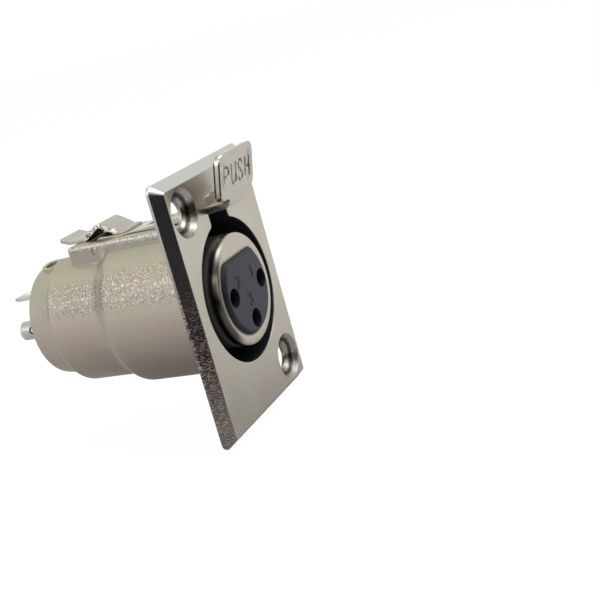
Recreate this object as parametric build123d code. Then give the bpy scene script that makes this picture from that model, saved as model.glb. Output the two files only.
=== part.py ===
from build123d import *
import math
import os

# Panel socket with three contacts and a push-to-release latch.
# Millimetres. X is to the right as seen from the front, Y runs into the panel, Z is up.
# The origin lies on the socket's axis, in the seating face at the back of the flange.

# Contacts, on the circle that the standard plug fits
contact_circle = 4.45
contact_angles = {"contact_1": 0, "contact_2": 180, "contact_3": 270}
pin_hole_radius = 1.36
pin_hole_length = 1.0
sleeve_radius = 1.37
sleeve_bore = 1.15
sleeve_floor = 6.0
slit_width = 0.35
slit_length = 8.3
slit_count = 3
contact_clearance = 0.05
collar_radius = 1.85
collar_length = 3.0
shank_radius = 1.4
cup_bore = 1.0
cup_depth = 3.8
cup_window_radius = 0.7
cup_window_place = 2.3
cup_window_lift = 0.3
tail_reach = 3.8

# Moulded insert, in two pieces that trap the contacts' collars
insert_edge = 1.95
insert_flat_cut = 1.65
insert_proud = 0.55
insert_round = 0.7
insert_corner = 0.5
insert_clearance = 0.05
insert_shoulder = 1.2
insert_body_clearance = 0.1
rear_insert_length = 9.2
insert_recess = 1.0

# Flange
flange_width = 27.0
flange_height = 36.8
flange_thickness = 2.0
flange_draft_sides = 1.15
flange_draft_ends = 1.25
flange_corner = 1.1
face_corner = 0.4
flange_land = 0.5
flange_edge_round = 0.25
screw_offset_x = 8.64
screw_offset_z = 13.51
screw_hole_radius = 1.8
countersink_radius = 3.35

# Nose, groove for the plug's sleeve and barrel, all cast in one piece with the flange
nose_wall = 1.52
nose_proud = 0.8
nose_round = 0.4
groove_width = 2.31
groove_depth = 11.5
groove_floor = 1.5
stop_rib_height = 1.3
stop_rib_width = 2.4
stop_rib_length = 2.7
barrel_wall = 0.77
shoulder_lead = 2.4
shoulder_length = 1.2
shoulder_round = 1.9
rear_wall = 2.15
rear_length = 7.9
rear_edge_round = 0.7
rear_end_round = 0.5
cap_lead = 3.7
cap_step = 0.95
cap_taper = 0.6
cap_root_round = 0.2

# Latch channel on top of the barrel
channel_wall = 2.25
channel_proud = 0.05
channel_edge_round = 0.5
channel_clearance = 0.15
pocket_behind = 2.2
pocket_clearance = 0.25
seat_length = 2.4
stud_radius = 0.6
stud_proud = 0.15
slot_corner = 0.7

# Ground tag
tag_width = 2.4
tag_thickness = 0.4
tag_height = 3.6
tag_leg_inset = 4.0
tag_bend = 0.5
tag_reach = 6.9
tag_slot_clearance = 0.1
trough_radius = 0.8
trough_length = 5.6
trough_rim = 0.6
trough_lift = 0.05
scoop_length = 3.6
scoop_drop = 11.0

# Set screw that holds the insert
set_screw_radius = 0.9
set_screw_inset = 2.4
set_screw_angle = 12
set_screw_sunk = 0.3
set_screw_depth = 0.8
set_screw_slot = 0.3
set_screw_slot_depth = 0.5
set_screw_clearance = 0.03
boss_radius = 1.5
boss_proud = 0.2

# Latch lever, folded from sheet
sheet = 0.9
tab_width = 10.5
tab_height = 6.1
tab_corner = 1.3
tab_top_reach = 7.3
tab_lean = 14.0
neck_width = 5.2
neck_height = 0.45
neck_fillet = 0.6
bend_radius = 0.6
web_end_sunk = 0.05
web_front = -4.6
web_rise = 1.75
tooth_width = 2.6
tooth_front = 4.5
tooth_length = 2.15
tooth_ramp = 0.6
tooth_bend = 0.2
tooth_root = 1.5
tooth_window = 3.8
tooth_gap = 0.1
ear_thickness = 0.8
ear_radius = 1.3
pivot_inset = 2.7
pivot_depth = 1.0
pin_radius = 0.6
pin_recess = 0.05
pin_press_clearance = 0.01
pivot_clearance = 0.05
rest_clearance = 0.03
latch_travel = 4.0
stop_clearance = 0.3

# Leaf spring over the pivot
leaf = 0.55
leaf_toe_length = 1.35
leaf_toe_lift = 0.1
leaf_foot_reach = 2.65
leaf_hump_rise = 2.02
leaf_heel_inset = 0.45
leaf_overhang = 0.9
leaf_flare_reach = 1.3
leaf_flare_rise = 0.5
leaf_bend = 0.9
leaf_seat_clearance = 0.02

# How far a cut runs past a face, and how far a joined form reaches into its neighbour
beyond = 1.0
into = 0.5

# Radii, worked outwards from the contacts
insert_radius = contact_circle + insert_edge
insert_flat = insert_radius - insert_flat_cut
cavity_radius = insert_radius + insert_shoulder
body_radius = cavity_radius - insert_body_clearance
rear_radius = cavity_radius + rear_wall
cap_radius = rear_radius - cap_step
nose_radius = insert_radius + nose_wall
opening_radius = nose_radius + groove_width
barrel_radius = opening_radius + barrel_wall

# Heights of the latch, worked from the barrel's top
channel_top = barrel_radius + channel_proud
web_end_top = channel_top - web_end_sunk
web_front_top = web_end_top + web_rise
tab_bottom = web_front_top + neck_height
tab_top = tab_bottom + tab_height
pivot_z = web_end_top - pivot_depth
pocket_floor = pivot_z - ear_radius - pocket_clearance
stud_top = channel_top + leaf + stud_proud

# Places along the axis, worked backwards from the face
nose_front = -flange_thickness - nose_proud
insert_front = nose_front - insert_proud
contact_front = insert_front + pin_hole_length + contact_clearance
slit_end = contact_front + slit_length
cavity_front = groove_depth + groove_floor
shoulder_front = groove_depth + shoulder_lead
shoulder_back = shoulder_front + shoulder_length
pivot_y = cavity_front + pivot_inset
web_end = pivot_y - ear_radius
seat_front = pivot_y + pocket_behind
channel_end = seat_front + seat_length
stud_place = (seat_front + channel_end) / 2
rear_end = channel_end + rear_length
cap_front = channel_end + cap_lead
insert_back = rear_end - insert_recess
insert_joint = insert_back - rear_insert_length
collar_front = insert_joint - collar_length
sleeve_bore_end = collar_front - sleeve_floor
tail_end = rear_end + tail_reach
tag_leg = insert_joint + tag_leg_inset
tag_end = rear_end + tag_reach
set_screw_place = rear_end - set_screw_inset
boss_top = cap_radius - cap_taper * (set_screw_place - cap_front) / (rear_end - cap_front) + boss_proud

# Widths and the lever's slope
face_width = flange_width - 2 * flange_draft_sides
face_height = flange_height - 2 * flange_draft_ends
slot_width = neck_width + 2 * channel_clearance
channel_outer_width = slot_width + 2 * channel_wall
web_slope = web_rise / (web_end - web_front)


def web_top(y):
    """Height of the lever's upper face at a distance y behind the seating face."""
    return web_end_top + web_slope * (web_end - y)


def web_under(y):
    """Height of the lever's lower face."""
    return web_top(y) - sheet / math.cos(math.atan(web_slope))


def lifted(y, z):
    """Height of a point of the lever when the latch is pushed as far as it goes."""
    turn = math.radians(latch_travel)
    return pivot_z + (pivot_y - y) * math.sin(turn) + (z - pivot_z) * math.cos(turn)


slot_top = lifted(-flange_thickness, web_top(-flange_thickness)) + stop_clearance
ledge_height = web_under(cavity_front) - rest_clearance
tooth_tip = web_under(tooth_front) - tooth_length


def seen_from_front(y):
    """Plane at a distance y, in which a sketch is drawn as it looks from the front."""
    return Plane(origin=(0, y, 0), x_dir=(1, 0, 0), z_dir=(0, -1, 0))


def ahead(outline, front, back):
    """Solid of an outline seen from the front, from y = front to y = back."""
    return extrude(seen_from_front(back) * outline, back - front)


def across(profile, half_width):
    """Solid of a side profile drawn as (y, z), as far to the left as to the right."""
    return extrude(Plane.YZ * profile, half_width, both=True)


def rod(radius, front, back, x=0.0, z=0.0):
    """Round bar along Y."""
    return ahead(Pos(x, z) * Circle(radius), front, back)


def block(half_width, front, back, low, high):
    """Box that is centred on x = 0."""
    middle = (low + high) / 2
    return ahead(Pos(0, middle) * Rectangle(2 * half_width, high - low), front, back)


def insert_outline(gap=0.0):
    """D-shaped section of the insert, or of the bore around it."""
    radius = insert_radius + gap
    cut = Pos(0, insert_flat + gap + radius) * Rectangle(4 * radius, 2 * radius)
    outline = Circle(radius) - cut
    corners = outline.vertices().filter_by(lambda v: v.Y > insert_flat - 0.1 and abs(v.X) > 1)
    return fillet(corners, insert_corner)


def flange():
    """Plate with a narrow straight land at the back and drafted edges in front of it."""
    outline = RectangleRounded(flange_width, flange_height, flange_corner)
    face = RectangleRounded(face_width, face_height, face_corner)
    land = ahead(outline, -flange_land, 0)
    land = fillet(land.edges().group_by(Axis.Y)[-1], flange_edge_round)
    return land + loft([seen_from_front(-flange_land) * outline, seen_from_front(-flange_thickness) * face])


def barrel():
    """Barrel with a soft shoulder, and a smaller tapered cap behind it."""
    side = FilletPolyline(
        (0, barrel_radius),
        (shoulder_front, barrel_radius),
        (shoulder_back, rear_radius),
        (cap_front, rear_radius),
        (cap_front, cap_radius),
        (rear_end, cap_radius - cap_taper),
        (rear_end, 0),
        radius=[shoulder_round, shoulder_round, rear_edge_round, cap_root_round, rear_end_round],
    )
    rest = Polyline((rear_end, 0), (-into, 0), (-into, barrel_radius), (0, barrel_radius))
    return revolve(Plane.YZ * make_face(side + rest), Axis.Y)


def channel_block():
    """Raised block on the barrel that holds the latch."""
    half = channel_outer_width / 2
    low = cavity_radius
    shape = block(half, -into, channel_end, low, channel_top)
    top_edges = shape.edges().filter_by(Axis.Y).group_by(Axis.Z)[-1]
    shape = fillet(top_edges, channel_edge_round)
    end_edges = shape.faces().sort_by(Axis.Y)[-1].edges().filter_by(lambda e: e.center().Z > low + into)
    return fillet(end_edges, channel_edge_round)


def stud(radius, top):
    """Upright bar at the back of the channel, over which the leaf is staked."""
    bar = Cylinder(radius, top - channel_top + beyond, align=(Align.CENTER, Align.CENTER, Align.MAX))
    return Pos(0, stud_place, top) * bar


def keyhole():
    """Round opening with the latch slot above it, its corners flared."""
    slot = Pos(0, slot_top / 2) * Rectangle(slot_width, slot_top)
    outline = Circle(opening_radius) + slot
    upper = outline.vertices().filter_by(lambda v: v.Y > opening_radius / 2)
    return fillet(upper, slot_corner)


def nose():
    """Inner tube of the casting, with a rounded rim."""
    tube = rod(nose_radius, nose_front, groove_depth + into)
    return fillet(tube.edges().group_by(Axis.Y)[0], nose_round)


def stop_ribs():
    """Two raised pads on the floor of the groove, one each side of the latch slot."""
    front = groove_depth - stop_rib_height
    back = groove_depth + into
    ring = rod(opening_radius + into, front, back) - rod(nose_radius - into, front - beyond, back + beyond)
    pads = Part()
    for side in (-1, 1):
        place = side * (slot_width / 2 + stop_rib_width / 2 + channel_clearance)
        outline = Pos(place, opening_radius) * Rectangle(stop_rib_width, 2 * stop_rib_length)
        pads += ring & ahead(outline, front, back)
    return pads


def set_screw_frame(height):
    """Plane across the set screw's axis, at a height above the socket's axis."""
    turn = math.radians(set_screw_angle)
    outward = Vector(-math.sin(turn), 0, math.cos(turn))
    origin = Vector(0, set_screw_place, 0) + outward * height
    return Plane(origin=origin, x_dir=(0, 1, 0), z_dir=outward)


def radial_bar(radius, inner, outer):
    """Round bar on the set screw's axis."""
    return extrude(set_screw_frame(inner) * Circle(radius), outer - inner)


def screw_hole(x, z):
    """Countersunk mounting hole."""
    depth = countersink_radius - screw_hole_radius
    face = Plane(origin=(x, -flange_thickness, z), x_dir=(1, 0, 0), z_dir=(0, 1, 0))
    sink = face * Cone(countersink_radius, screw_hole_radius, depth,
                       align=(Align.CENTER, Align.CENTER, Align.MIN))
    return sink + rod(screw_hole_radius, -flange_thickness - beyond, beyond, x, z)


def make_housing():
    """Die-cast body: flange, barrel, groove, nose and latch channel in one piece."""
    body = flange() + barrel() + channel_block()
    body -= block(slot_width / 2, channel_end, cap_front + into, cap_radius, channel_top)
    body += radial_bar(boss_radius, cavity_radius + into, boss_top)
    body -= ahead(keyhole(), -flange_thickness - beyond, groove_depth)
    body += nose() + stop_ribs()
    body -= ahead(insert_outline(insert_clearance), nose_front - beyond, cavity_front + beyond)
    body -= rod(cavity_radius, cavity_front, rear_end + beyond)
    body -= block(slot_width / 2, groove_depth - beyond, cavity_front, ledge_height, channel_top + beyond)
    body -= block(slot_width / 2, cavity_front, seat_front, pocket_floor, channel_top + beyond)
    body -= across(Pos(pivot_y, pivot_z) * Circle(pin_radius + pin_press_clearance), channel_outer_width)
    body -= radial_bar(set_screw_radius + set_screw_clearance, cavity_radius - beyond, boss_top + beyond)
    body -= screw_hole(-screw_offset_x, screw_offset_z)
    body -= screw_hole(screw_offset_x, -screw_offset_z)
    return body + stud(stud_radius, stud_top)


def contact_spots():
    """Names and places of the three contacts, as (name, x, z)."""
    spots = []
    for name, angle in contact_angles.items():
        turn = math.radians(angle)
        spots.append((name, contact_circle * math.cos(turn), contact_circle * math.sin(turn)))
    return spots


def make_front_insert():
    """Front moulding: D-shaped nose, round shoulder and three contact chambers."""
    neck = ahead(insert_outline(), insert_front, cavity_front + into)
    neck = fillet(neck.edges().group_by(Axis.Y)[0], insert_round)
    body = neck + rod(body_radius, cavity_front, insert_joint)
    for name, x, z in contact_spots():
        body -= rod(pin_hole_radius, insert_front - beyond, contact_front, x, z)
        body -= rod(sleeve_radius + contact_clearance, contact_front - contact_clearance, collar_front, x, z)
        body -= rod(collar_radius + contact_clearance, collar_front, insert_joint + beyond, x, z)
    return body


def tag_strip(width, gap):
    """Flat part of the ground tag, or the slot for it: down the cavity wall, then back."""
    end = insert_back + beyond if gap else tag_end - trough_length + into
    leg_top = body_radius + insert_body_clearance - tag_thickness / 2
    path = FilletPolyline((tag_leg, leg_top + gap), (tag_leg, tag_height), (end, tag_height),
                          radius=tag_bend)
    return across(trace(path, tag_thickness + 2 * gap), width / 2 + gap)


def make_rear_insert():
    """Rear moulding that traps the contacts' collars and carries the ground tag."""
    body = rod(body_radius, insert_joint, insert_back)
    for name, x, z in contact_spots():
        body -= rod(shank_radius + contact_clearance, insert_joint - beyond, insert_back + beyond, x, z)
    body -= tag_strip(tag_width, tag_slot_clearance)
    screw_end = cavity_radius - set_screw_depth
    body -= radial_bar(set_screw_radius + insert_body_clearance, screw_end - insert_body_clearance,
                       cavity_radius + beyond)
    return body


def make_contact(x, z):
    """Turned contact: slotted sleeve, collar, shank and solder cup with a window."""
    body = rod(sleeve_radius, contact_front, collar_front, x, z)
    body += rod(collar_radius, collar_front, insert_joint, x, z)
    body += rod(shank_radius, insert_joint, tail_end, x, z)
    body -= rod(sleeve_bore, contact_front - beyond, sleeve_bore_end, x, z)
    for number in range(slit_count):
        angle = 90 + number * 360 / slit_count
        slit = Rot(0, 0, angle) * Pos(sleeve_radius, 0) * Rectangle(2 * sleeve_radius, slit_width)
        body -= ahead(Pos(x, z) * slit, contact_front - beyond, slit_end)
    body -= rod(cup_bore, tail_end - cup_depth, tail_end + beyond, x, z)
    window = Pos(tail_end - cup_window_place, z + cup_window_lift) * Circle(cup_window_radius)
    return body - Pos(x, 0, 0) * across(window, 2 * shank_radius)


def make_ground_tag():
    """Sheet tag with a leg on the cavity wall and a scooped solder trough."""
    centre = tag_height - tag_thickness / 2 + trough_lift + trough_radius
    ring = Circle(trough_radius) - Circle(trough_radius - tag_thickness)
    ring -= Pos(0, trough_rim + trough_radius) * Rectangle(4 * trough_radius, 2 * trough_radius)
    trough = ahead(Pos(0, centre) * ring, tag_end - trough_length, tag_end)
    scoop = Pos(0, tag_end - scoop_length, centre + trough_rim) * Rot(-scoop_drop, 0, 0)
    trough -= scoop * Box(4 * trough_radius, 3 * scoop_length, 4 * trough_radius,
                          align=(Align.CENTER, Align.MIN, Align.MIN))
    return tag_strip(tag_width, 0) + trough


def make_set_screw():
    """Slotted set screw that keeps the insert from sliding out."""
    outer = boss_top - set_screw_sunk
    body = radial_bar(set_screw_radius, cavity_radius - set_screw_depth, outer)
    outline = Rectangle(2 * set_screw_radius + beyond, set_screw_slot)
    slot = extrude(set_screw_frame(outer - set_screw_slot_depth) * outline, set_screw_slot_depth + beyond)
    return body - slot


def tab_outline():
    """Lever as seen from the front: the tab, with the neck and strip below it."""
    low = tooth_tip - beyond
    tab = Pos(0, (tab_top + tab_bottom) / 2) * Rectangle(tab_width, tab_top - tab_bottom)
    neck = Pos(0, (tab_bottom + low) / 2) * Rectangle(neck_width, tab_bottom - low)
    outline = tab + neck
    outer = outline.vertices().filter_by(lambda v: abs(v.X) > neck_width / 2 + into)
    outline = fillet(outer, tab_corner)
    inner = outline.vertices().filter_by(
        lambda v: abs(abs(v.X) - neck_width / 2) < 0.01 and v.Y > low + into)
    return fillet(inner, neck_fillet)


def lever_path():
    """Middle line of the lever's sheet, seen from the side: tab, bend and web."""
    middle = sheet / 2
    lean = math.tan(math.radians(tab_lean))
    tab_y = -tab_top_reach + middle * math.sqrt(1 + lean ** 2)
    web_z = web_end_top + web_slope * web_end - middle * math.sqrt(1 + web_slope ** 2)
    corner_y = (tab_y + lean * (tab_top - web_z)) / (1 - lean * web_slope)
    corner = (corner_y, web_z - web_slope * corner_y)
    top = (tab_y - beyond * lean, tab_top + beyond)
    end = (web_end, web_z - web_slope * web_end)
    return FilletPolyline(top, corner, end, radius=bend_radius + middle)


def tooth():
    """Tongue that is cut from the web and folded down behind the flange."""
    middle = sheet / 2
    root = tooth_front - tooth_root
    down = tooth_front + middle
    bend = FilletPolyline((root, web_top(root) - middle), (down, web_top(down) - middle), (down, tooth_tip),
                          radius=middle + tooth_bend)
    shape = across(trace(bend, sheet), tooth_width / 2)
    edge = shape.edges().filter_by(Axis.X).group_by(Axis.Z)[0].sort_by(Axis.Y)[0]
    return chamfer(edge, tooth_ramp)


def ear(side):
    """Ear that is folded down from the web's edge and turns on the pin."""
    root = web_end - ear_radius
    start = Pos(root, web_top(root) - sheet / 2) * Circle(sheet / 2)
    outline = make_hull((start + Pos(pivot_y, pivot_z) * Circle(ear_radius)).edges())
    inner = neck_width / 2 - ear_thickness
    plane = Plane(origin=(side * inner, 0, 0), x_dir=(0, 1, 0), z_dir=(1, 0, 0))
    return extrude(plane * outline, side * ear_thickness)


def make_latch_lever():
    """Folded lever: push tab, neck, web with the tooth, and two pivot ears."""
    body = across(trace(lever_path(), sheet), tab_width) & ahead(tab_outline(), -tab_top, web_end + beyond)
    down = tooth_front + sheet / 2
    body -= block(tooth_width / 2 + tooth_gap, down, down + tooth_window, tooth_tip, web_front_top + beyond)
    body += tooth() + ear(-1) + ear(1)
    body -= across(Pos(pivot_y, pivot_z) * Circle(pin_radius + pivot_clearance), neck_width)
    return body


def make_latch_pin():
    """Pin that is pressed through the channel's walls."""
    return across(Pos(pivot_y, pivot_z) * Circle(pin_radius), channel_outer_width / 2 - pin_recess)


def make_latch_spring():
    """Leaf that arches over the pivot and presses on the web in front of it."""
    middle = leaf / 2
    lift = middle + leaf_seat_clearance
    seat = channel_top + lift
    foot = pivot_y - leaf_foot_reach
    toe = foot - leaf_toe_length
    flare = channel_end + leaf_overhang
    path = FilletPolyline(
        (toe, web_top(toe) + lift + leaf_toe_lift),
        (foot, web_top(foot) + lift),
        (pivot_y, channel_top + leaf_hump_rise),
        (seat_front + leaf_heel_inset, seat),
        (flare, seat),
        (flare + leaf_flare_reach, seat + leaf_flare_rise),
        radius=leaf_bend,
    )
    body = across(trace(path, leaf), neck_width / 2)
    return body - stud(stud_radius + pivot_clearance, stud_top + beyond)


def build_parts():
    """All pieces by name."""
    parts = {
        "housing": make_housing(),
        "front_insert": make_front_insert(),
        "rear_insert": make_rear_insert(),
        "ground_tag": make_ground_tag(),
        "set_screw": make_set_screw(),
        "latch_lever": make_latch_lever(),
        "latch_pin": make_latch_pin(),
        "latch_spring": make_latch_spring(),
    }
    for name, x, z in contact_spots():
        parts[name] = make_contact(x, z)
    return parts


os.makedirs("parts", exist_ok=True)
for node, shape in build_parts().items():
    export_step(shape, "parts/" + node + ".step")
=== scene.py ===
import math

import bmesh
import bpy
from mathutils import Matrix, Vector


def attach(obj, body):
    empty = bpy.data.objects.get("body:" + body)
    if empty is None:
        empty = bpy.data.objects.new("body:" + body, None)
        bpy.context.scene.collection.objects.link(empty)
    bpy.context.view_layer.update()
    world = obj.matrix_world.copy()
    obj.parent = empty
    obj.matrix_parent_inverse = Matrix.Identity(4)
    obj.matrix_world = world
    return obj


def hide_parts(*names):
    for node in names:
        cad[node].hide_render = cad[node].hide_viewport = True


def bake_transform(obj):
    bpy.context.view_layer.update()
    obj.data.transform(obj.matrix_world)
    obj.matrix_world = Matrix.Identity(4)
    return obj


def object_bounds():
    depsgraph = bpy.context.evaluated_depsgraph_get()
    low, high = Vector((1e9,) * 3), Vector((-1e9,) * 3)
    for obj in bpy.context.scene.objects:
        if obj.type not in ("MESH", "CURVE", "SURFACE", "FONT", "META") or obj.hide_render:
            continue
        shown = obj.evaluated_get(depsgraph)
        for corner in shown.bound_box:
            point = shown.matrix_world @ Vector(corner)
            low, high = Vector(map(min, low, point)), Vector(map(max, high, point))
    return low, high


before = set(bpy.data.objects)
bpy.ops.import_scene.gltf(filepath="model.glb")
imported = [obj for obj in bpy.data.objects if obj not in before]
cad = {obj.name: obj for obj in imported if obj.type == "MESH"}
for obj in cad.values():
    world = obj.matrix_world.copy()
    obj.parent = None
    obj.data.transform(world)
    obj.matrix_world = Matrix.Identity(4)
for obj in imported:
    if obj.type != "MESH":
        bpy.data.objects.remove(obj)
cad_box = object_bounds()

# Looks of the panel socket, in the frame of the CAD model: X to the right as seen from the front,
# Y into the panel, Z up. Places and sizes are in millimetres, and MM makes Blender's metres of them.
MM = 0.001

# Casting
FACE_Y = -2.0
BACK_Y = 0.0
NOSE_RADIUS = 7.92
GROOVE_RADIUS = 10.23
GROOVE_MIDDLE = 9.1
GROOVE_FLOOR_Y = 12.0
SLOT_HALF_WIDTH = 3.0
SLOT_LOW_Z = 9.0
SLOT_TOP_Z = 14.1
SHOULDER_Y = 14.6
CHANNEL_HALF_WIDTH = 5.0
CHANNEL_RIM_Z = 10.15
CHANNEL_END_Y = 20.3
MIDDLE_Y = 12.0
SCREW_X = 8.64
SCREW_Z = 13.51
SINK_RADIUS = 3.35

# Insert
INSERT_FRONT = -3.35
NUMBER_STROKE = 0.13

# Latch: tab, neck, bead behind the flange as (y, share of its height), and pin
TAB_TOP_Y = -7.3
TAB_TOP_Z = 19.3
TAB_LEAN = 14.0
TAB_HALF_WIDTH = 5.25
WORD_Z = 16.1
WORD_STROKE = 0.21
WORD_HALF_WIDTH = 4.6
WORD_HALF_HEIGHT = 1.95
STRIP_Z = 12.0
NECK_HALF_WIDTH = 2.6
NECK_END_Y = 2.6
NECK_SLIMMING = 0.965
BEAD_HEIGHT = 0.95
BEAD_FLARE = 0.45
BEAD_RISE = [(0.12, 0.0), (0.2, 0.35), (0.28, 0.8), (0.36, 1.0), (0.8, 1.0), (1.2, 0.85), (1.6, 0.55),
             (2.0, 0.25), (2.4, 0.05), (2.6, 0.0)]
PIVOT_Y = 15.7
PIVOT_Z = 10.0

# Leaf spring
LEAF_HALF_WIDTH = 2.6
LEAF_FOOT_Y = 13.0
LEAF_BEND_Y = 13.05
LEAF_BEND_STEP = 0.35
LEAF_BEND_CUTS = 16
FOOT_ROOT_Y = 13.3
FOOT_LENGTH = 1.6
FOOT_TOP_DROP = 0.42
FOOT_UNDER_DROP = 0.1
HALF_SHEET = 0.3

# Photograph's view
VIEW_AZIMUTH = -64.07
VIEW_ELEVATION = 14.44
VIEW_ROLL = 15.51
CAMERA_PLACE = (-140.36, -78.72, 37.32)
CAMERA_LENS = 70.94

# Tones of the finishes, as linear red, green and blue
FACE_OLIVE = (0.49, 0.465, 0.385)
FACE_PALE = (0.52, 0.495, 0.43)
FACE_WARM = (0.50, 0.455, 0.40)
TOP_OLIVE = (0.385, 0.385, 0.29)
TOP_GOLD = (0.42, 0.385, 0.285)
LOW_PINK = (0.40, 0.355, 0.295)
LOW_ROSE = (0.41, 0.345, 0.305)
CHEEK_TONE = (0.335, 0.31, 0.265)
EDGE_GREY = (0.43, 0.41, 0.405)
EDGE_BROWN = (0.40, 0.345, 0.31)
EDGE_TOP_SHEEN = (0.50, 0.505, 0.48)
EDGE_STREAK = (0.03, 0.022, 0.02)
FLANK_BROWN = (0.20, 0.172, 0.15)
PAINTED_GLINT = (0.74, 0.66, 0.62)
PIT = (0.10, 0.09, 0.075)
SHOULDER_GLEAM = (0.66, 0.61, 0.53)
RIM_SPECK = (0.72, 0.69, 0.66)
RIM_PIT = (0.10, 0.085, 0.07)
SINK_ROSE = (0.35, 0.31, 0.29)
SINK_OLIVE = (0.33, 0.31, 0.27)
SINK_SPECK = (0.80, 0.77, 0.75)
SINK_SHADE = (0.035, 0.028, 0.026)
SLOT_GLEAM = (0.84, 0.82, 0.75)
NOSE_SHADE = (0.05, 0.042, 0.036)
GROOVE_SHADE = (0.008, 0.009, 0.016)
ROLLED_MARK = (0.26, 0.25, 0.23)
CUT_SPECK = (0.80, 0.76, 0.73)
CUT_PIT = (0.12, 0.10, 0.085)
WORD_TONE = (0.12, 0.10, 0.08)
TAB_EDGE_HIGHLIGHT = (0.62, 0.58, 0.54)
TAB_EDGE_SHADE_LINE = (0.045, 0.035, 0.03)
ERODED_SPECK = (0.16, 0.165, 0.19)
HOLE_SHADE = (0.03, 0.03, 0.04)


# Shader tools

# A Mix node's colour sockets go by number, because their names repeat
MIX_FIRST = 6
MIX_SECOND = 7
MIX_RESULT = 2


class Signal:
    """An output of a shader node. Arithmetic on it adds Math nodes."""

    def __init__(self, nodes, socket):
        self.nodes = nodes
        self.socket = socket

    def math(self, operation, *others):
        """A Math node on this signal and others."""
        return self.nodes.node("ShaderNodeMath", {"operation": operation}, [self, *others])

    def __add__(self, other):
        return self.math("ADD", other)

    def __mul__(self, other):
        return self.math("MULTIPLY", other)

    def __sub__(self, other):
        return self.math("SUBTRACT", other)

    def __rsub__(self, other):
        return self.nodes.node("ShaderNodeMath", {"operation": "SUBTRACT"}, [other, self])

    def __abs__(self):
        return self.math("ABSOLUTE")

    __radd__ = __add__
    __rmul__ = __mul__

    def between(self, low, high):
        """0 below low, 1 above high, and smooth between them."""
        settings = {"interpolation_type": "SMOOTHSTEP"}
        sockets = {"Value": self, "From Min": low, "From Max": high}
        return self.nodes.node("ShaderNodeMapRange", settings, sockets)

    def until(self, low, high):
        """1 below low, 0 above high, and smooth between them."""
        return 1 - self.between(low, high)

    def within(self, start, full, fading, end):
        """1 from full to fading, 0 before start and after end, and smooth between them."""
        return self.between(start, full) * self.until(fading, end)


def distance(first, second):
    """Distance of a place from an axis, from its two offsets square to it."""
    return (first * first + second * second).math("SQRT")


class NodeSet:
    """The nodes of a material or of the world, made by calls."""

    def __init__(self, tree):
        self.tree = tree

    def node(self, kind, settings=None, inputs=None, output=0):
        """Adds a node. The settings come first, then the values or links of its sockets."""
        node = self.tree.nodes.new(kind)
        for name, value in (settings or {}).items():
            setattr(node, name, value)
        pairs = inputs.items() if isinstance(inputs, dict) else enumerate(inputs or [])
        for key, value in pairs:
            self.connect(node.inputs[key], value)
        return node if output is None else Signal(self, node.outputs[output])

    def connect(self, socket, value):
        """Links a signal to a socket, or sets a plain value on it."""
        if isinstance(value, Signal):
            self.tree.links.new(value.socket, socket)
        elif isinstance(value, tuple) and len(value) == 3 and socket.type == "RGBA":
            socket.default_value = (*value, 1)
        else:
            socket.default_value = value

    def rays(self, *kinds):
        """For each kind of ray, a signal of 1 where the surface is seen by it."""
        paths = self.node("ShaderNodeLightPath", output=None)
        return [Signal(self, paths.outputs[f"Is {kind} Ray"]) for kind in kinds]


class Finish(NodeSet):
    """A material for one of the finishes."""

    def __init__(self, name):
        self.material = bpy.data.materials.new(name)
        self.material.use_nodes = True
        super().__init__(self.material.node_tree)
        self.surface = self.tree.nodes["Principled BSDF"]
        self.place = self.node("ShaderNodeTexCoord", output="Object")
        parts = self.node("ShaderNodeSeparateXYZ", None, [self.place], output=None)
        self.x, self.y, self.z = [Signal(self, parts.outputs[axis]) * 1000 for axis in "XYZ"]

    def set(self, **values):
        """Sets or links the inputs of the surface shader."""
        for name, value in values.items():
            self.connect(self.surface.inputs[name.replace("_", " ")], value)

    def mapped(self, **sockets):
        """Object coordinates that are moved or stretched, for a pattern to follow."""
        return self.node("ShaderNodeMapping", None, {"Vector": self.place, **sockets})

    def noise(self, size, detail, roughness=0.5, at=None):
        """Noise whose lumps are about size millimetres across."""
        sockets = {"Vector": at or self.place, "Scale": 1 / (size * MM), "Detail": detail, "Roughness": roughness}
        return self.node("ShaderNodeTexNoise", None, sockets, output="Fac")

    def cells(self, size):
        """Distance to the nearest of points that lie about size millimetres apart."""
        sockets = {"Vector": self.place, "Scale": 1 / (size * MM)}
        return self.node("ShaderNodeTexVoronoi", None, sockets, output="Distance")

    def mix(self, share, first, second):
        """Colour between two colours."""
        sockets = {"Factor": share, MIX_FIRST: first, MIX_SECOND: second}
        return self.node("ShaderNodeMix", {"data_type": "RGBA"}, sockets, output=MIX_RESULT)

    def layered(self, tone, *layers):
        """Colour with layers over it in turn, each a share and a colour."""
        for share, colour in layers:
            tone = self.mix(share, tone, colour)
        return tone

    def bump(self, height, depth, onto):
        """Normal of a relief whose height of 1 stands for depth in millimetres."""
        sockets = {"Height": height, "Distance": depth * MM, "Strength": 1.0, "Normal": onto}
        return self.node("ShaderNodeBump", None, sockets, output="Normal")

    def edge(self, radius):
        """Normal that rounds the edges over a radius in millimetres."""
        return self.node("ShaderNodeBevel", {"samples": 6}, {"Radius": radius * MM}, output="Normal")


# Finishes

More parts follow.
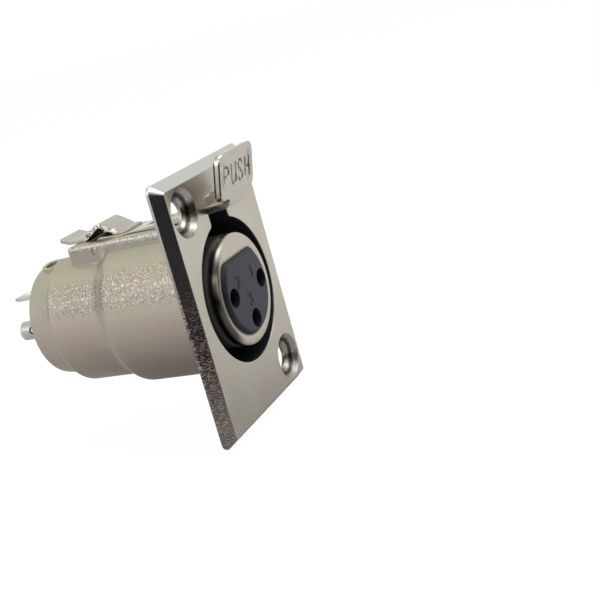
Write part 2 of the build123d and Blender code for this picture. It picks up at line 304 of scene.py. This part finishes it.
def groove_walls(f, radius):
    """Mask of the walls of the ring groove and of the slot above it, down to the groove's floor, where painted shade
    darkens the casting.
    """
    in_ring = radius.within(NOSE_RADIUS - 0.08, NOSE_RADIUS + 0.02, GROOVE_RADIUS + 0.3, GROOVE_RADIUS + 0.6)
    outside = radius.between(GROOVE_MIDDLE - 0.1, GROOVE_MIDDLE + 0.1)
    below_face = f.y.between(FACE_Y + 0.03, FACE_Y + 0.25)
    inner_wall = (1 - outside) * f.y.between(FACE_Y + 0.3, FACE_Y + 1.3)
    in_slot = f.z.within(SLOT_LOW_Z, SLOT_LOW_Z + 0.3, STRIP_Z, STRIP_Z + 0.3) * below_face
    in_slot = in_slot * abs(f.x).until(SLOT_HALF_WIDTH - 0.05, SLOT_HALF_WIDTH + 0.05)
    walls = (in_ring * (outside * below_face + inner_wall)).math("MAXIMUM", in_slot)
    return walls * f.y.until(GROOVE_FLOOR_Y - 0.1, GROOVE_FLOOR_Y + 0.1)


def casting_tint(f, on_face, cloud, warm):
    """Cloudy tints: a warm polished face, and a barrel that is olive above and pinkish below."""
    face = f.layered(FACE_OLIVE, (cloud.between(0.40, 0.62), FACE_PALE), (warm.between(0.46, 0.68), FACE_WARM))
    upper = f.mix(warm.between(0.42, 0.62), TOP_OLIVE, TOP_GOLD)
    lower = f.mix(cloud.between(0.42, 0.62), LOW_PINK, LOW_ROSE)
    height_share = (f.z + warm * 5.0).between(2.0, 8.5)
    return f.layered(lower, (height_share, upper), (on_face, face))


def cast_nickel():
    """Nickel-plated casting: polished face, grainy edges and barrel, groove darkened by painted shade."""
    f = Finish("cast_nickel")

    # Places: the flank is the angle from the barrel's top in radians, and the screw is the nearer one
    across = abs(f.x)
    radius = distance(f.x, f.z)
    flank = across.math("ARCTAN2", f.z)
    side = f.z.math("SIGN")
    from_screw = distance(f.x * side + SCREW_X, f.z * side - SCREW_Z)
    from_pin = distance(f.y - PIVOT_Y, f.z - PIVOT_Z)

    # Clouds, grain, specks, dimples and the streaks along the flange's edge
    cloud = f.noise(size=8.0, detail=3.0)
    warm = f.noise(size=5.0, detail=2.0, at=f.mapped(Location=(0.3, 0.1, 0.2)))
    grain = f.noise(size=0.38, detail=3.0, roughness=0.6)
    speck = f.noise(size=0.26, detail=1.0)
    dark_speck = 1 - speck
    dimple = f.cells(0.6)
    streak = f.noise(size=0.26, detail=1.5, at=f.mapped(Scale=(1.0, 0.30, 2.0)))

    # The polished face with the nose's end, all that lies behind the flange, and the openings, whose groove and slot
    # walls are painted dark as shade
    on_face = (f.y * -1).between(-FACE_Y - 0.07, -FACE_Y - 0.01)
    behind = f.y.between(BACK_Y - 0.06, BACK_Y - 0.01)
    shaded_groove = groove_walls(f, radius)
    in_opening = radius.until(GROOVE_RADIUS + 0.3, GROOVE_RADIUS + 0.6)
    on_nose = radius.until(NOSE_RADIUS + 0.05, NOSE_RADIUS + 0.1) * f.y.until(FACE_Y + 0.1, FACE_Y + 0.2)
    in_sink = from_screw.until(SINK_RADIUS - 0.02, SINK_RADIUS + 0.04)
    in_sink = in_sink * f.y.between(FACE_Y + 0.01, FACE_Y + 0.07) * (1 - behind)

    # The flange's edge, whose grain starts below the tab and pales towards the foot, and whose top is painted paler as
    # a painted sheen
    on_edge = (1 - on_face) * (1 - behind)
    top_edge = on_edge * f.z.between(16.9, 17.3)
    low_edge = on_edge * f.z.until(-3.0, 11.0) * (1 - in_sink) * (1 - in_opening)
    foot = f.z.until(-18.0, -3.0)

    # The barrel's grainy flanks and its shoulder, and the channel's rim and cheeks
    band = flank.within(0.70, 0.98, 1.22, 1.42) * behind * (1 - f.y.between(19.0, 28.5) * 0.85)
    band = band * radius.until(11.3, 11.9)
    # Painted gleam along the shoulder's step, which lightens the shaded crease there
    step = f.y.within(SHOULDER_Y - 0.7, SHOULDER_Y - 0.1, SHOULDER_Y + 0.1, SHOULDER_Y + 0.6)
    shoulder = f.y.within(13.0, 13.6, 16.4, 17.0) * flank.between(0.52, 0.60)
    rim = f.z.between(CHANNEL_RIM_Z, CHANNEL_RIM_Z + 0.25) * f.y.between(0.1, 0.6)
    rim = rim * across.between(CHANNEL_HALF_WIDTH - 0.6, CHANNEL_HALF_WIDTH - 0.3)
    rim = rim * (1 - f.y.between(4.0, 13.0) * 0.5) * 0.55
    cheek = across.within(CHANNEL_HALF_WIDTH - 0.08, CHANNEL_HALF_WIDTH - 0.03,
                          CHANNEL_HALF_WIDTH + 0.02, CHANNEL_HALF_WIDTH + 0.06)
    cheek = cheek * f.z.between(8.0, 8.3) * f.y.until(CHANNEL_END_Y, CHANNEL_END_Y + 0.02) * behind

    # Painted light and shade: a ragged ring of painted shade in the countersinks, a painted gleam over the latch's
    # strip, and painted shade on the nose's rim, broken by a painted glint
    ragged = from_screw + (cloud - 0.5) * 0.8 + (speck - 0.5) * 0.25
    # Painted shade: a ragged dark ring in the countersinks
    sink_shade_ring = ragged.within(2.20, 2.36, 2.60, 2.86)
    # Painted gleam in the slot over the latch's strip
    gleam_over_strip = f.z.within(STRIP_Z + 0.1, STRIP_Z + 0.4, SLOT_TOP_Z, SLOT_TOP_Z + 0.1)
    gleam_over_strip = gleam_over_strip * across.until(SLOT_HALF_WIDTH + 0.05, SLOT_HALF_WIDTH + 0.15)
    gleam_over_strip = gleam_over_strip * f.y.between(FACE_Y + 0.03, FACE_Y + 0.1) * (1 - behind)
    nose_shade = radius.between(NOSE_RADIUS - 1.0, NOSE_RADIUS - 0.7) * (f.x * -1).between(3.6, 6.0) * on_nose
    nose_glint = radius.between(NOSE_RADIUS - 0.35, NOSE_RADIUS - 0.25) * f.z.within(0.8, 2.2, 3.4, 4.6)

    # Specks on the grain of the flanks' band, behind the flange and on the low edge are painted bright as glints, and
    # the band is darker brown between them
    glint_share = band * 0.55 + behind * 0.05 + low_edge * (0.4 - foot * 0.2)
    pitted = band * 0.5 + behind * 0.10 + on_face * 0.04
    tone = f.layered(
        casting_tint(f, on_face, cloud, warm),
        (cheek, CHEEK_TONE),
        (on_edge, EDGE_GREY),
        (low_edge, EDGE_BROWN),
        (top_edge, EDGE_TOP_SHEEN),
        (band * 0.6, FLANK_BROWN),
        (speck.between(0.58, 0.70) * glint_share, PAINTED_GLINT),
        (dark_speck.between(0.56, 0.72) * pitted, PIT),
        (streak.between(0.37, 0.52) * low_edge * (0.95 - foot * 0.40), EDGE_STREAK),
        (step * flank.between(0.40, 0.60) * 0.7, SHOULDER_GLEAM),
        (rim * speck.between(0.35, 0.60), RIM_SPECK),
        (rim * dark_speck.between(0.50, 0.60), RIM_PIT),
        (in_sink, f.mix(cloud.between(0.4, 0.6), SINK_ROSE, SINK_OLIVE)),
        (in_sink * speck.between(0.54, 0.70) * 0.3, SINK_SPECK),
        (in_sink * sink_shade_ring * 0.9, SINK_SHADE),
        (gleam_over_strip, SLOT_GLEAM),
        (nose_shade * (0.92 - nose_glint * 0.9), NOSE_SHADE),
        (shaded_groove, GROOVE_SHADE),
    )

    relief = on_face * 0.04 + band * 0.9 + on_edge * 0.10 + low_edge * 0.3 + behind * 0.16 + in_sink * 0.15 + rim * 1.2
    height = (grain * 0.7 + dimple * 0.3) * relief + streak * low_edge * 0.8
    rounding = 0.12 * from_pin.between(0.9, 1.0) + on_nose * 0.7 + shoulder * 0.8
    f.set(Base_Color=tone, Metallic=1 - shaded_groove * 0.8,
          Roughness=0.27 + behind * 0.10 + shaded_groove * 0.3 + cloud * 0.05,
          Normal=f.bump(height, depth=0.05, onto=f.edge(rounding)))
    return f.material


def sheet_nickel(name, tint, blush, gloss, half_width=0.0, stamped=False):
    """Nickel-plated sheet with faint clouds and fine rolling marks.

    A leaf of a half width gets grain on the cut sides of its hump. The stamped lever gets dark letters, a painted
    highlight with a line of painted shade along the tab's sides, and a painted gleam on its bead.
    """
    f = Finish(name)
    across = abs(f.x)
    cloud = f.noise(size=4.0, detail=3.0)
    marks = f.noise(size=0.25, detail=2.0, at=f.mapped(Scale=(0.25, 1.0, 1.0)))
    tone = f.layered(tint, (cloud.between(0.38, 0.64), blush), (marks.between(0.62, 0.8) * 0.25, ROLLED_MARK))
    if half_width:
        speck = f.noise(size=0.3, detail=1.0)
        cut_side = across.between(half_width - 0.2, half_width - 0.1) * f.y.within(12.6, 13.4, 18.0, 19.0)
        tone = f.layered(tone, (cut_side * speck.between(0.46, 0.58), CUT_SPECK),
                         (cut_side * (1 - speck).between(0.52, 0.60), CUT_PIT))
    if stamped:
        depth = (f.y - TAB_TOP_Y) - (TAB_TOP_Z - f.z) * math.tan(math.radians(TAB_LEAN))
        low, high = WORD_Z - WORD_HALF_HEIGHT, WORD_Z + WORD_HALF_HEIGHT
        in_word = depth.within(0.02, 0.09, 0.24, 0.3) * f.z.within(low - 0.15, low + 0.05, high - 0.15, high + 0.05)
        in_word = in_word * across.until(WORD_HALF_WIDTH - 0.1, WORD_HALF_WIDTH + 0.1)
        # Painted highlight with a line of painted shade along the tab's sides
        tab_side = across.between(TAB_HALF_WIDTH - 0.15, TAB_HALF_WIDTH - 0.05) * f.y.until(-3.0, -2.6)
        beside_line = 1 - depth.within(0.16, 0.26, 0.66, 0.76)
        # Painted gleam on the bead's front
        bead_gleam = f.y.within(0.05, 0.15, 2.2, 2.8)
        tone = f.layered(tone, (in_word * 0.6, WORD_TONE), (tab_side, f.mix(beside_line, TAB_EDGE_HIGHLIGHT, TAB_EDGE_SHADE_LINE)),
                         (bead_gleam, SLOT_GLEAM))
        gloss = bead_gleam * 0.3 + gloss
    height = marks * 0.4 + f.noise(size=0.3, detail=2.0) * 0.6
    f.set(Base_Color=tone, Metallic=1.0, Roughness=gloss + cloud * 0.08,
          Normal=f.bump(height, depth=0.004, onto=f.edge(0.24)))
    return f.material


def darker(colour, share):
    """A colour at a share of its strength."""
    return tuple(share * value for value in colour)


def moulding(name, colour, highlight):
    """Moulded plastic with a fine eroded skin, and painted shade that darkens it behind the insert's face."""
    f = Finish(name)
    cloud = f.noise(size=5.0, detail=3.0)
    skin = f.noise(size=0.12, detail=2.0)
    tone = f.layered(colour, (cloud.between(0.35, 0.7), highlight),
                     # Painted shade: darker behind the insert's face
                     (f.y.between(INSERT_FRONT + 0.02, INSERT_FRONT + 0.14), darker(colour, 0.42)),
                     (skin.between(0.66, 0.8) * 0.2, ERODED_SPECK))
    f.set(Base_Color=tone, Roughness=0.46 + cloud * 0.12, Specular_IOR_Level=0.3,
          Normal=f.bump(skin, depth=0.006, onto=f.edge(0.1)))
    return f.material


def plated(name, tint, gloss, lathe=0.0, shaded=0.0, rounding=0.06):
    """Plated small part, with turning marks where lathe is above 0 and a front end darkened by painted shade in the
    holes where shaded is.
    """
    f = Finish(name)
    cloud = f.noise(size=1.6, detail=2.0)
    turned = f.noise(size=0.2, detail=2.0, at=f.mapped(Scale=(0.05, 1.0, 0.05)))
    height = turned * lathe + f.noise(size=0.15, detail=2.0) * (1 - lathe)
    tone = f.layered(tint, (cloud.between(0.4, 0.65), darker(tint, 0.82)), (f.y.until(6.0, 9.0) * shaded, HOLE_SHADE))
    f.set(Base_Color=tone, Metallic=1.0, Roughness=gloss + cloud * 0.1,
          Normal=f.bump(height, depth=0.006, onto=f.edge(rounding)))
    return f.material


finishes = {
    "cast_nickel": cast_nickel(),
    "latch_nickel": sheet_nickel("latch_nickel", tint=(0.47, 0.45, 0.39), blush=(0.47, 0.425, 0.38), gloss=0.2,
                                 stamped=True),
    "spring_nickel": sheet_nickel("spring_nickel", tint=(0.43, 0.43, 0.37), blush=(0.42, 0.395, 0.345), gloss=0.26,
                                  half_width=LEAF_HALF_WIDTH),
    "insert_plastic": moulding("insert_plastic", colour=(0.027, 0.027, 0.040), highlight=(0.034, 0.034, 0.048)),
    "rear_plastic": moulding("rear_plastic", colour=(0.035, 0.037, 0.05), highlight=(0.05, 0.052, 0.065)),
    "contact_plate": plated("contact_plate", tint=(0.53, 0.525, 0.51), gloss=0.2, lathe=0.8, shaded=1.0),
    "tag_plate": plated("tag_plate", tint=(0.62, 0.62, 0.60), gloss=0.22),
    "screw_steel": plated("screw_steel", tint=(0.42, 0.41, 0.39), gloss=0.3, lathe=0.3),
    "pin_steel": plated("pin_steel", tint=(0.345, 0.32, 0.275), gloss=0.36, rounding=0.001),
}


def dress(piece, slot):
    """Gives a piece one of the finishes."""
    piece.data.materials.clear()
    piece.data.materials.append(finishes[slot])


slots = {
    "housing": "cast_nickel", "front_insert": "insert_plastic", "rear_insert": "rear_plastic",
    "contact_1": "contact_plate", "contact_2": "contact_plate", "contact_3": "contact_plate",
    "ground_tag": "tag_plate", "set_screw": "screw_steel", "latch_lever": "latch_nickel",
    "latch_pin": "pin_steel", "latch_spring": "spring_nickel",
}
for node, slot in slots.items():
    dress(cad[node], slot)


# Tools for the pieces

def mesh_object(name, tool):
    """An object in the scene with the mesh of a bmesh, which is freed."""
    mesh = bpy.data.meshes.new(name)
    tool.to_mesh(mesh)
    tool.free()
    holder = bpy.data.objects.new(name, mesh)
    bpy.context.scene.collection.objects.link(holder)
    return holder


def applied_mesh(holder):
    """Mesh of an object with its modifiers or its bevel applied."""
    graph = bpy.context.evaluated_depsgraph_get()
    return bpy.data.meshes.new_from_object(holder.evaluated_get(graph))


def smooth_under(mesh, angle):
    """Smooth shading, apart from edges sharper than an angle in degrees."""
    mesh.shade_smooth()
    mesh.set_sharp_from_angle(angle=math.radians(angle))


def new_piece(name, tool, slot, body):
    """A finished piece from a bmesh, riding on a body, or on none."""
    piece = mesh_object(name, tool)
    dress(piece, slot)
    smooth_under(piece.data, 35)
    if body:
        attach(piece, body)
    return piece


def copied(node):
    """Closed copy of a CAD node's mesh, as a bmesh."""
    tool = bmesh.new()
    tool.from_mesh(cad[node].data)
    bmesh.ops.remove_doubles(tool, verts=tool.verts, dist=1e-6)
    return tool


def cut_across(tool, places):
    """Divides a mesh by planes across Y, so that it can bend there."""
    for y in places:
        everything = tool.verts[:] + tool.edges[:] + tool.faces[:]
        bmesh.ops.bisect_plane(tool, geom=everything, plane_co=(0, y * MM, 0), plane_no=(0, 1, 0))


def strokes(name, lines, radius, turn):
    """Round strokes along lines that are drawn in a plane, as a bmesh in its place."""
    curve = bpy.data.curves.new(name, "CURVE")
    curve.dimensions = "3D"
    curve.bevel_depth = radius * MM
    curve.bevel_resolution = 2
    curve.use_fill_caps = True
    for line in lines:
        spline = curve.splines.new("POLY")
        spline.points.add(len(line) - 1)
        for point, (u, v) in zip(spline.points, line):
            point.co = (u * MM, v * MM, 0, 1)
    holder = bpy.data.objects.new(name, curve)
    bpy.context.scene.collection.objects.link(holder)
    mesh = applied_mesh(holder)
    tool = bmesh.new()
    tool.from_mesh(mesh)
    bmesh.ops.remove_doubles(tool, verts=tool.verts, dist=1e-7)
    bmesh.ops.transform(tool, matrix=turn, verts=tool.verts)
    bpy.data.objects.remove(holder)
    bpy.data.meshes.remove(mesh)
    return tool


def upright(x, y, z, lean=0.0):
    """Places a drawing on a face that looks to the front, leaning forward by an angle."""
    return Matrix.Translation(Vector((x, y, z)) * MM) @ Matrix.Rotation(math.radians(90 + lean), 4, "X")


# Pieces

WORD_LINES = [
    [(-3.9, -1.45), (-3.9, 1.3), (-3.05, 1.3), (-2.68, 1.15), (-2.5, 0.85), (-2.5, 0.5), (-2.68, 0.2), (-3.05, 0.05),
     (-3.7, 0.05)],
    [(-1.6, 1.45), (-1.6, -0.75), (-1.45, -1.15), (-1.1, -1.35), (-0.75, -1.35), (-0.4, -1.15), (-0.25, -0.75),
     (-0.25, 1.45)],
    [(1.85, 0.85), (1.72, 1.18), (1.4, 1.38), (1.0, 1.38), (0.7, 1.18), (0.6, 0.85), (0.72, 0.5), (1.7, -0.42),
     (1.88, -0.8), (1.74, -1.15), (1.42, -1.36), (1.0, -1.36), (0.68, -1.15), (0.52, -0.8)],
    [(2.75, 1.45), (2.75, -1.45)],
    [(4.1, 1.45), (4.1, -1.45)],
    [(2.75, 0.05), (4.1, 0.05)],
]
NUMBER_LINES = {
    "1": [[(-0.28, 0.5), (0.0, 0.85), (0.0, -0.85)]],
    "2": [[(-0.42, 0.5), (-0.3, 0.78), (0.0, 0.88), (0.3, 0.76), (0.42, 0.46), (0.3, 0.1), (-0.42, -0.85),
           (0.45, -0.85)]],
    "3": [[(-0.4, 0.6), (-0.2, 0.84), (0.1, 0.86), (0.36, 0.66), (0.34, 0.28), (0.05, 0.06), (0.38, -0.16),
           (0.44, -0.52), (0.2, -0.82), (-0.12, -0.86), (-0.42, -0.6)]],
}
NUMBER_PLACES = {"1": (2.2, 1.7), "2": (-2.4, 1.65), "3": (-0.25, -1.5)}


def bead_share(y):
    """Share of the bead's height at a distance y in millimetres."""
    for (start, low), (end, high) in zip(BEAD_RISE, BEAD_RISE[1:]):
        if start <= y <= end:
            return low + (high - low) * (y - start) / (end - start)
    return 0.0


def stamp_word(lever):
    """Cuts the word into the tab."""
    word_y = TAB_TOP_Y + (TAB_TOP_Z - WORD_Z) * math.tan(math.radians(TAB_LEAN))
    word = mesh_object("word", strokes("word", WORD_LINES, WORD_STROKE, upright(0, word_y, WORD_Z, TAB_LEAN)))
    cut = lever.modifiers.new("stamp", "BOOLEAN")
    cut.operation = "DIFFERENCE"
    cut.solver = "EXACT"
    cut.use_self = True
    cut.object = word
    stamped = applied_mesh(lever)
    lever.modifiers.clear()
    lever.data = stamped
    bpy.data.objects.remove(word)
    dress(lever, "latch_nickel")
    smooth_under(stamped, 30)


def stamped_lever():
    """Latch lever with a low bead behind the flange that keeps light from showing through the slot, a slimmer neck and
    the word stamped into its tab.
    """
    tool = copied("latch_lever")
    cut_across(tool, [y for y, share in BEAD_RISE])
    for vertex in tool.verts:
        share = bead_share(vertex.co.y / MM)
        on_neck_side = NECK_HALF_WIDTH - 0.1 < abs(vertex.co.x) / MM < NECK_HALF_WIDTH + 0.1
        if on_neck_side and vertex.co.y < NECK_END_Y * MM:
            vertex.co.x *= NECK_SLIMMING
        vertex.co.z += BEAD_HEIGHT * share * MM
        vertex.co.x *= 1 + BEAD_FLARE * share
    lever = new_piece("push_lever", tool, "latch_nickel", "latch")
    stamp_word(lever)
    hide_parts("latch_lever")


def raised_numbers():
    """Numbers of the contacts, raised on the insert's face."""
    for digit, (x, z) in NUMBER_PLACES.items():
        tool = strokes("number_" + digit, NUMBER_LINES[digit], NUMBER_STROKE, upright(x, INSERT_FRONT, z))
        new_piece("number_" + digit, tool, "insert_plastic", "socket")


def bending_leaf():
    """Leaf spring whose thin front foot lies on the lever."""
    tool = copied("latch_spring")
    cut_across(tool, [LEAF_BEND_Y + LEAF_BEND_STEP * step for step in range(LEAF_BEND_CUTS)])
    lowest = min(vertex.co.z for vertex in tool.verts if vertex.co.y < LEAF_FOOT_Y * MM)
    for vertex in tool.verts:
        reach = max(0.0, min(1.0, (FOOT_ROOT_Y - vertex.co.y / MM) / FOOT_LENGTH))
        on_top = vertex.co.z - lowest > HALF_SHEET * MM
        vertex.co.z -= reach * (FOOT_TOP_DROP if on_top else FOOT_UNDER_DROP) * MM
    leaf = new_piece("leaf_spring", tool, "spring_nickel", None)
    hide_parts("latch_spring")
    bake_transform(leaf)


def flush_pin():
    """Pin whose ends lie flush with the sides of the channel block."""
    tool = copied("latch_pin")
    for vertex in tool.verts:
        vertex.co.x = math.copysign(CHANNEL_HALF_WIDTH * MM, vertex.co.x)
    pin = new_piece("hinge_pin", tool, "pin_steel", "socket")
    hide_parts("latch_pin")


bending_leaf()
stamped_lever()
raised_numbers()
flush_pin()


# Stage, lights and camera

def floor_material():
    """Pale floor that is white to the camera, keeps a soft shadow, and in reflections shows a painted shade that is
    darker near the socket.
    """
    f = Finish("floor_white")
    to_camera, glossy, transmitted = f.rays("Camera", "Glossy", "Transmission")
    in_mirror = glossy + transmitted
    far = distance(f.x, f.y - MIDDLE_Y)
    # Painted shade: in reflections the floor's glow is darker near the socket
    reflected_shade_level = 0.26 + far.between(3.0, 20.0) * 0.22 + far.between(15.0, 48.0) * 0.32 + far.between(45.0, 120.0) * 0.2
    paint = f.node("ShaderNodeBsdfDiffuse", None, {"Color": (0.85, 0.85, 0.85)})
    shine = f.node("ShaderNodeEmission", None, {"Color": to_camera * 1.05 + in_mirror * reflected_shade_level, "Strength": 1.0})
    blended = f.node("ShaderNodeMixShader", None, [to_camera * 0.9 + in_mirror * 0.8, paint, shine])
    f.connect(f.tree.nodes["Material Output"].inputs["Surface"], blended)
    return f.material


def make_floor():
    """Wide floor just under the flange."""
    tool = bmesh.new()
    bmesh.ops.create_grid(tool, x_segments=2, y_segments=2, size=3.0)
    bmesh.ops.translate(tool, vec=(0, 0, cad_box[0].z - 0.2 * MM), verts=tool.verts)
    floor = mesh_object("floor", tool)
    floor.data.materials.append(floor_material())


def flat_card(name, centre, toward, width, height, colour):
    """A card that is seen only in reflections."""
    tool = bmesh.new()
    bmesh.ops.create_grid(tool, x_segments=1, y_segments=1, size=0.5)
    bmesh.ops.scale(tool, vec=(width * MM, height * MM, 1), verts=tool.verts)
    turn = (Vector(toward) - Vector(centre)).to_track_quat("Z", "Y").to_matrix().to_4x4()
    bmesh.ops.transform(tool, matrix=Matrix.Translation(Vector(centre) * MM) @ turn, verts=tool.verts)
    card = mesh_object(name, tool)
    f = Finish(name)
    f.set(Base_Color=colour, Roughness=1.0)
    card.data.materials.append(f.material)
    card.visible_camera = False
    card.visible_diffuse = False
    card.visible_shadow = False


def make_world():
    """White surroundings, at a plain level where they light the object."""
    world = bpy.data.worlds.new("surroundings")
    bpy.context.scene.world = world
    world.use_nodes = True
    nodes = NodeSet(world.node_tree)
    to_camera, glossy, transmitted = nodes.rays("Camera", "Glossy", "Transmission")
    sockets = {"Value": to_camera + glossy + transmitted, "To Min": 0.55, "To Max": 1.0}
    background = world.node_tree.nodes["Background"]
    nodes.connect(background.inputs["Strength"], nodes.node("ShaderNodeMapRange", None, sockets))
    nodes.connect(background.inputs["Color"], (1.0, 1.0, 1.0))


def make_lamp(name, place, size, power):
    """Square soft light that faces the socket."""
    lamp = bpy.data.lights.new(name, "AREA")
    lamp.shape = "SQUARE"
    lamp.size = size * MM
    lamp.energy = power
    holder = bpy.data.objects.new(name, lamp)
    bpy.context.scene.collection.objects.link(holder)
    holder.location = Vector(place) * MM
    holder.rotation_euler = (Vector((0, MIDDLE_Y, 0)) - Vector(place)).to_track_quat("-Z", "Y").to_euler()


def make_camera():
    """The photograph's view: place, aim and roll."""
    azimuth, elevation, roll = [math.radians(angle) for angle in (VIEW_AZIMUTH, VIEW_ELEVATION, VIEW_ROLL)]
    level_reach = math.cos(elevation)
    back = Vector((math.sin(azimuth) * level_reach, -math.cos(azimuth) * level_reach, math.sin(elevation)))
    level = (-back).cross(Vector((0, 0, 1))).normalized()
    down = (-back).cross(level)
    right = math.cos(roll) * level + math.sin(roll) * down
    up = math.sin(roll) * level - math.cos(roll) * down
    view = bpy.data.cameras.new("photo_view")
    view.sensor_width = 36
    view.lens = CAMERA_LENS
    view.clip_start = 0.01
    camera = bpy.data.objects.new("photo_view", view)
    bpy.context.scene.collection.objects.link(camera)
    turn = Matrix((right, up, back)).transposed().to_4x4()
    camera.matrix_world = Matrix.Translation(Vector(CAMERA_PLACE) * MM) @ turn
    bpy.context.scene.camera = camera


make_floor()
flat_card("dark_front", centre=(-43, -33, 9), toward=(-13, -1, 9), width=110, height=58, colour=(0.006, 0.006, 0.008))
make_world()
make_lamp("key_light", place=(60, -170, 330), size=240, power=0.9)
make_lamp("fill_light", place=(-260, 120, 220), size=300, power=0.35)
make_camera()
bpy.context.scene.view_settings.view_transform = "Standard"
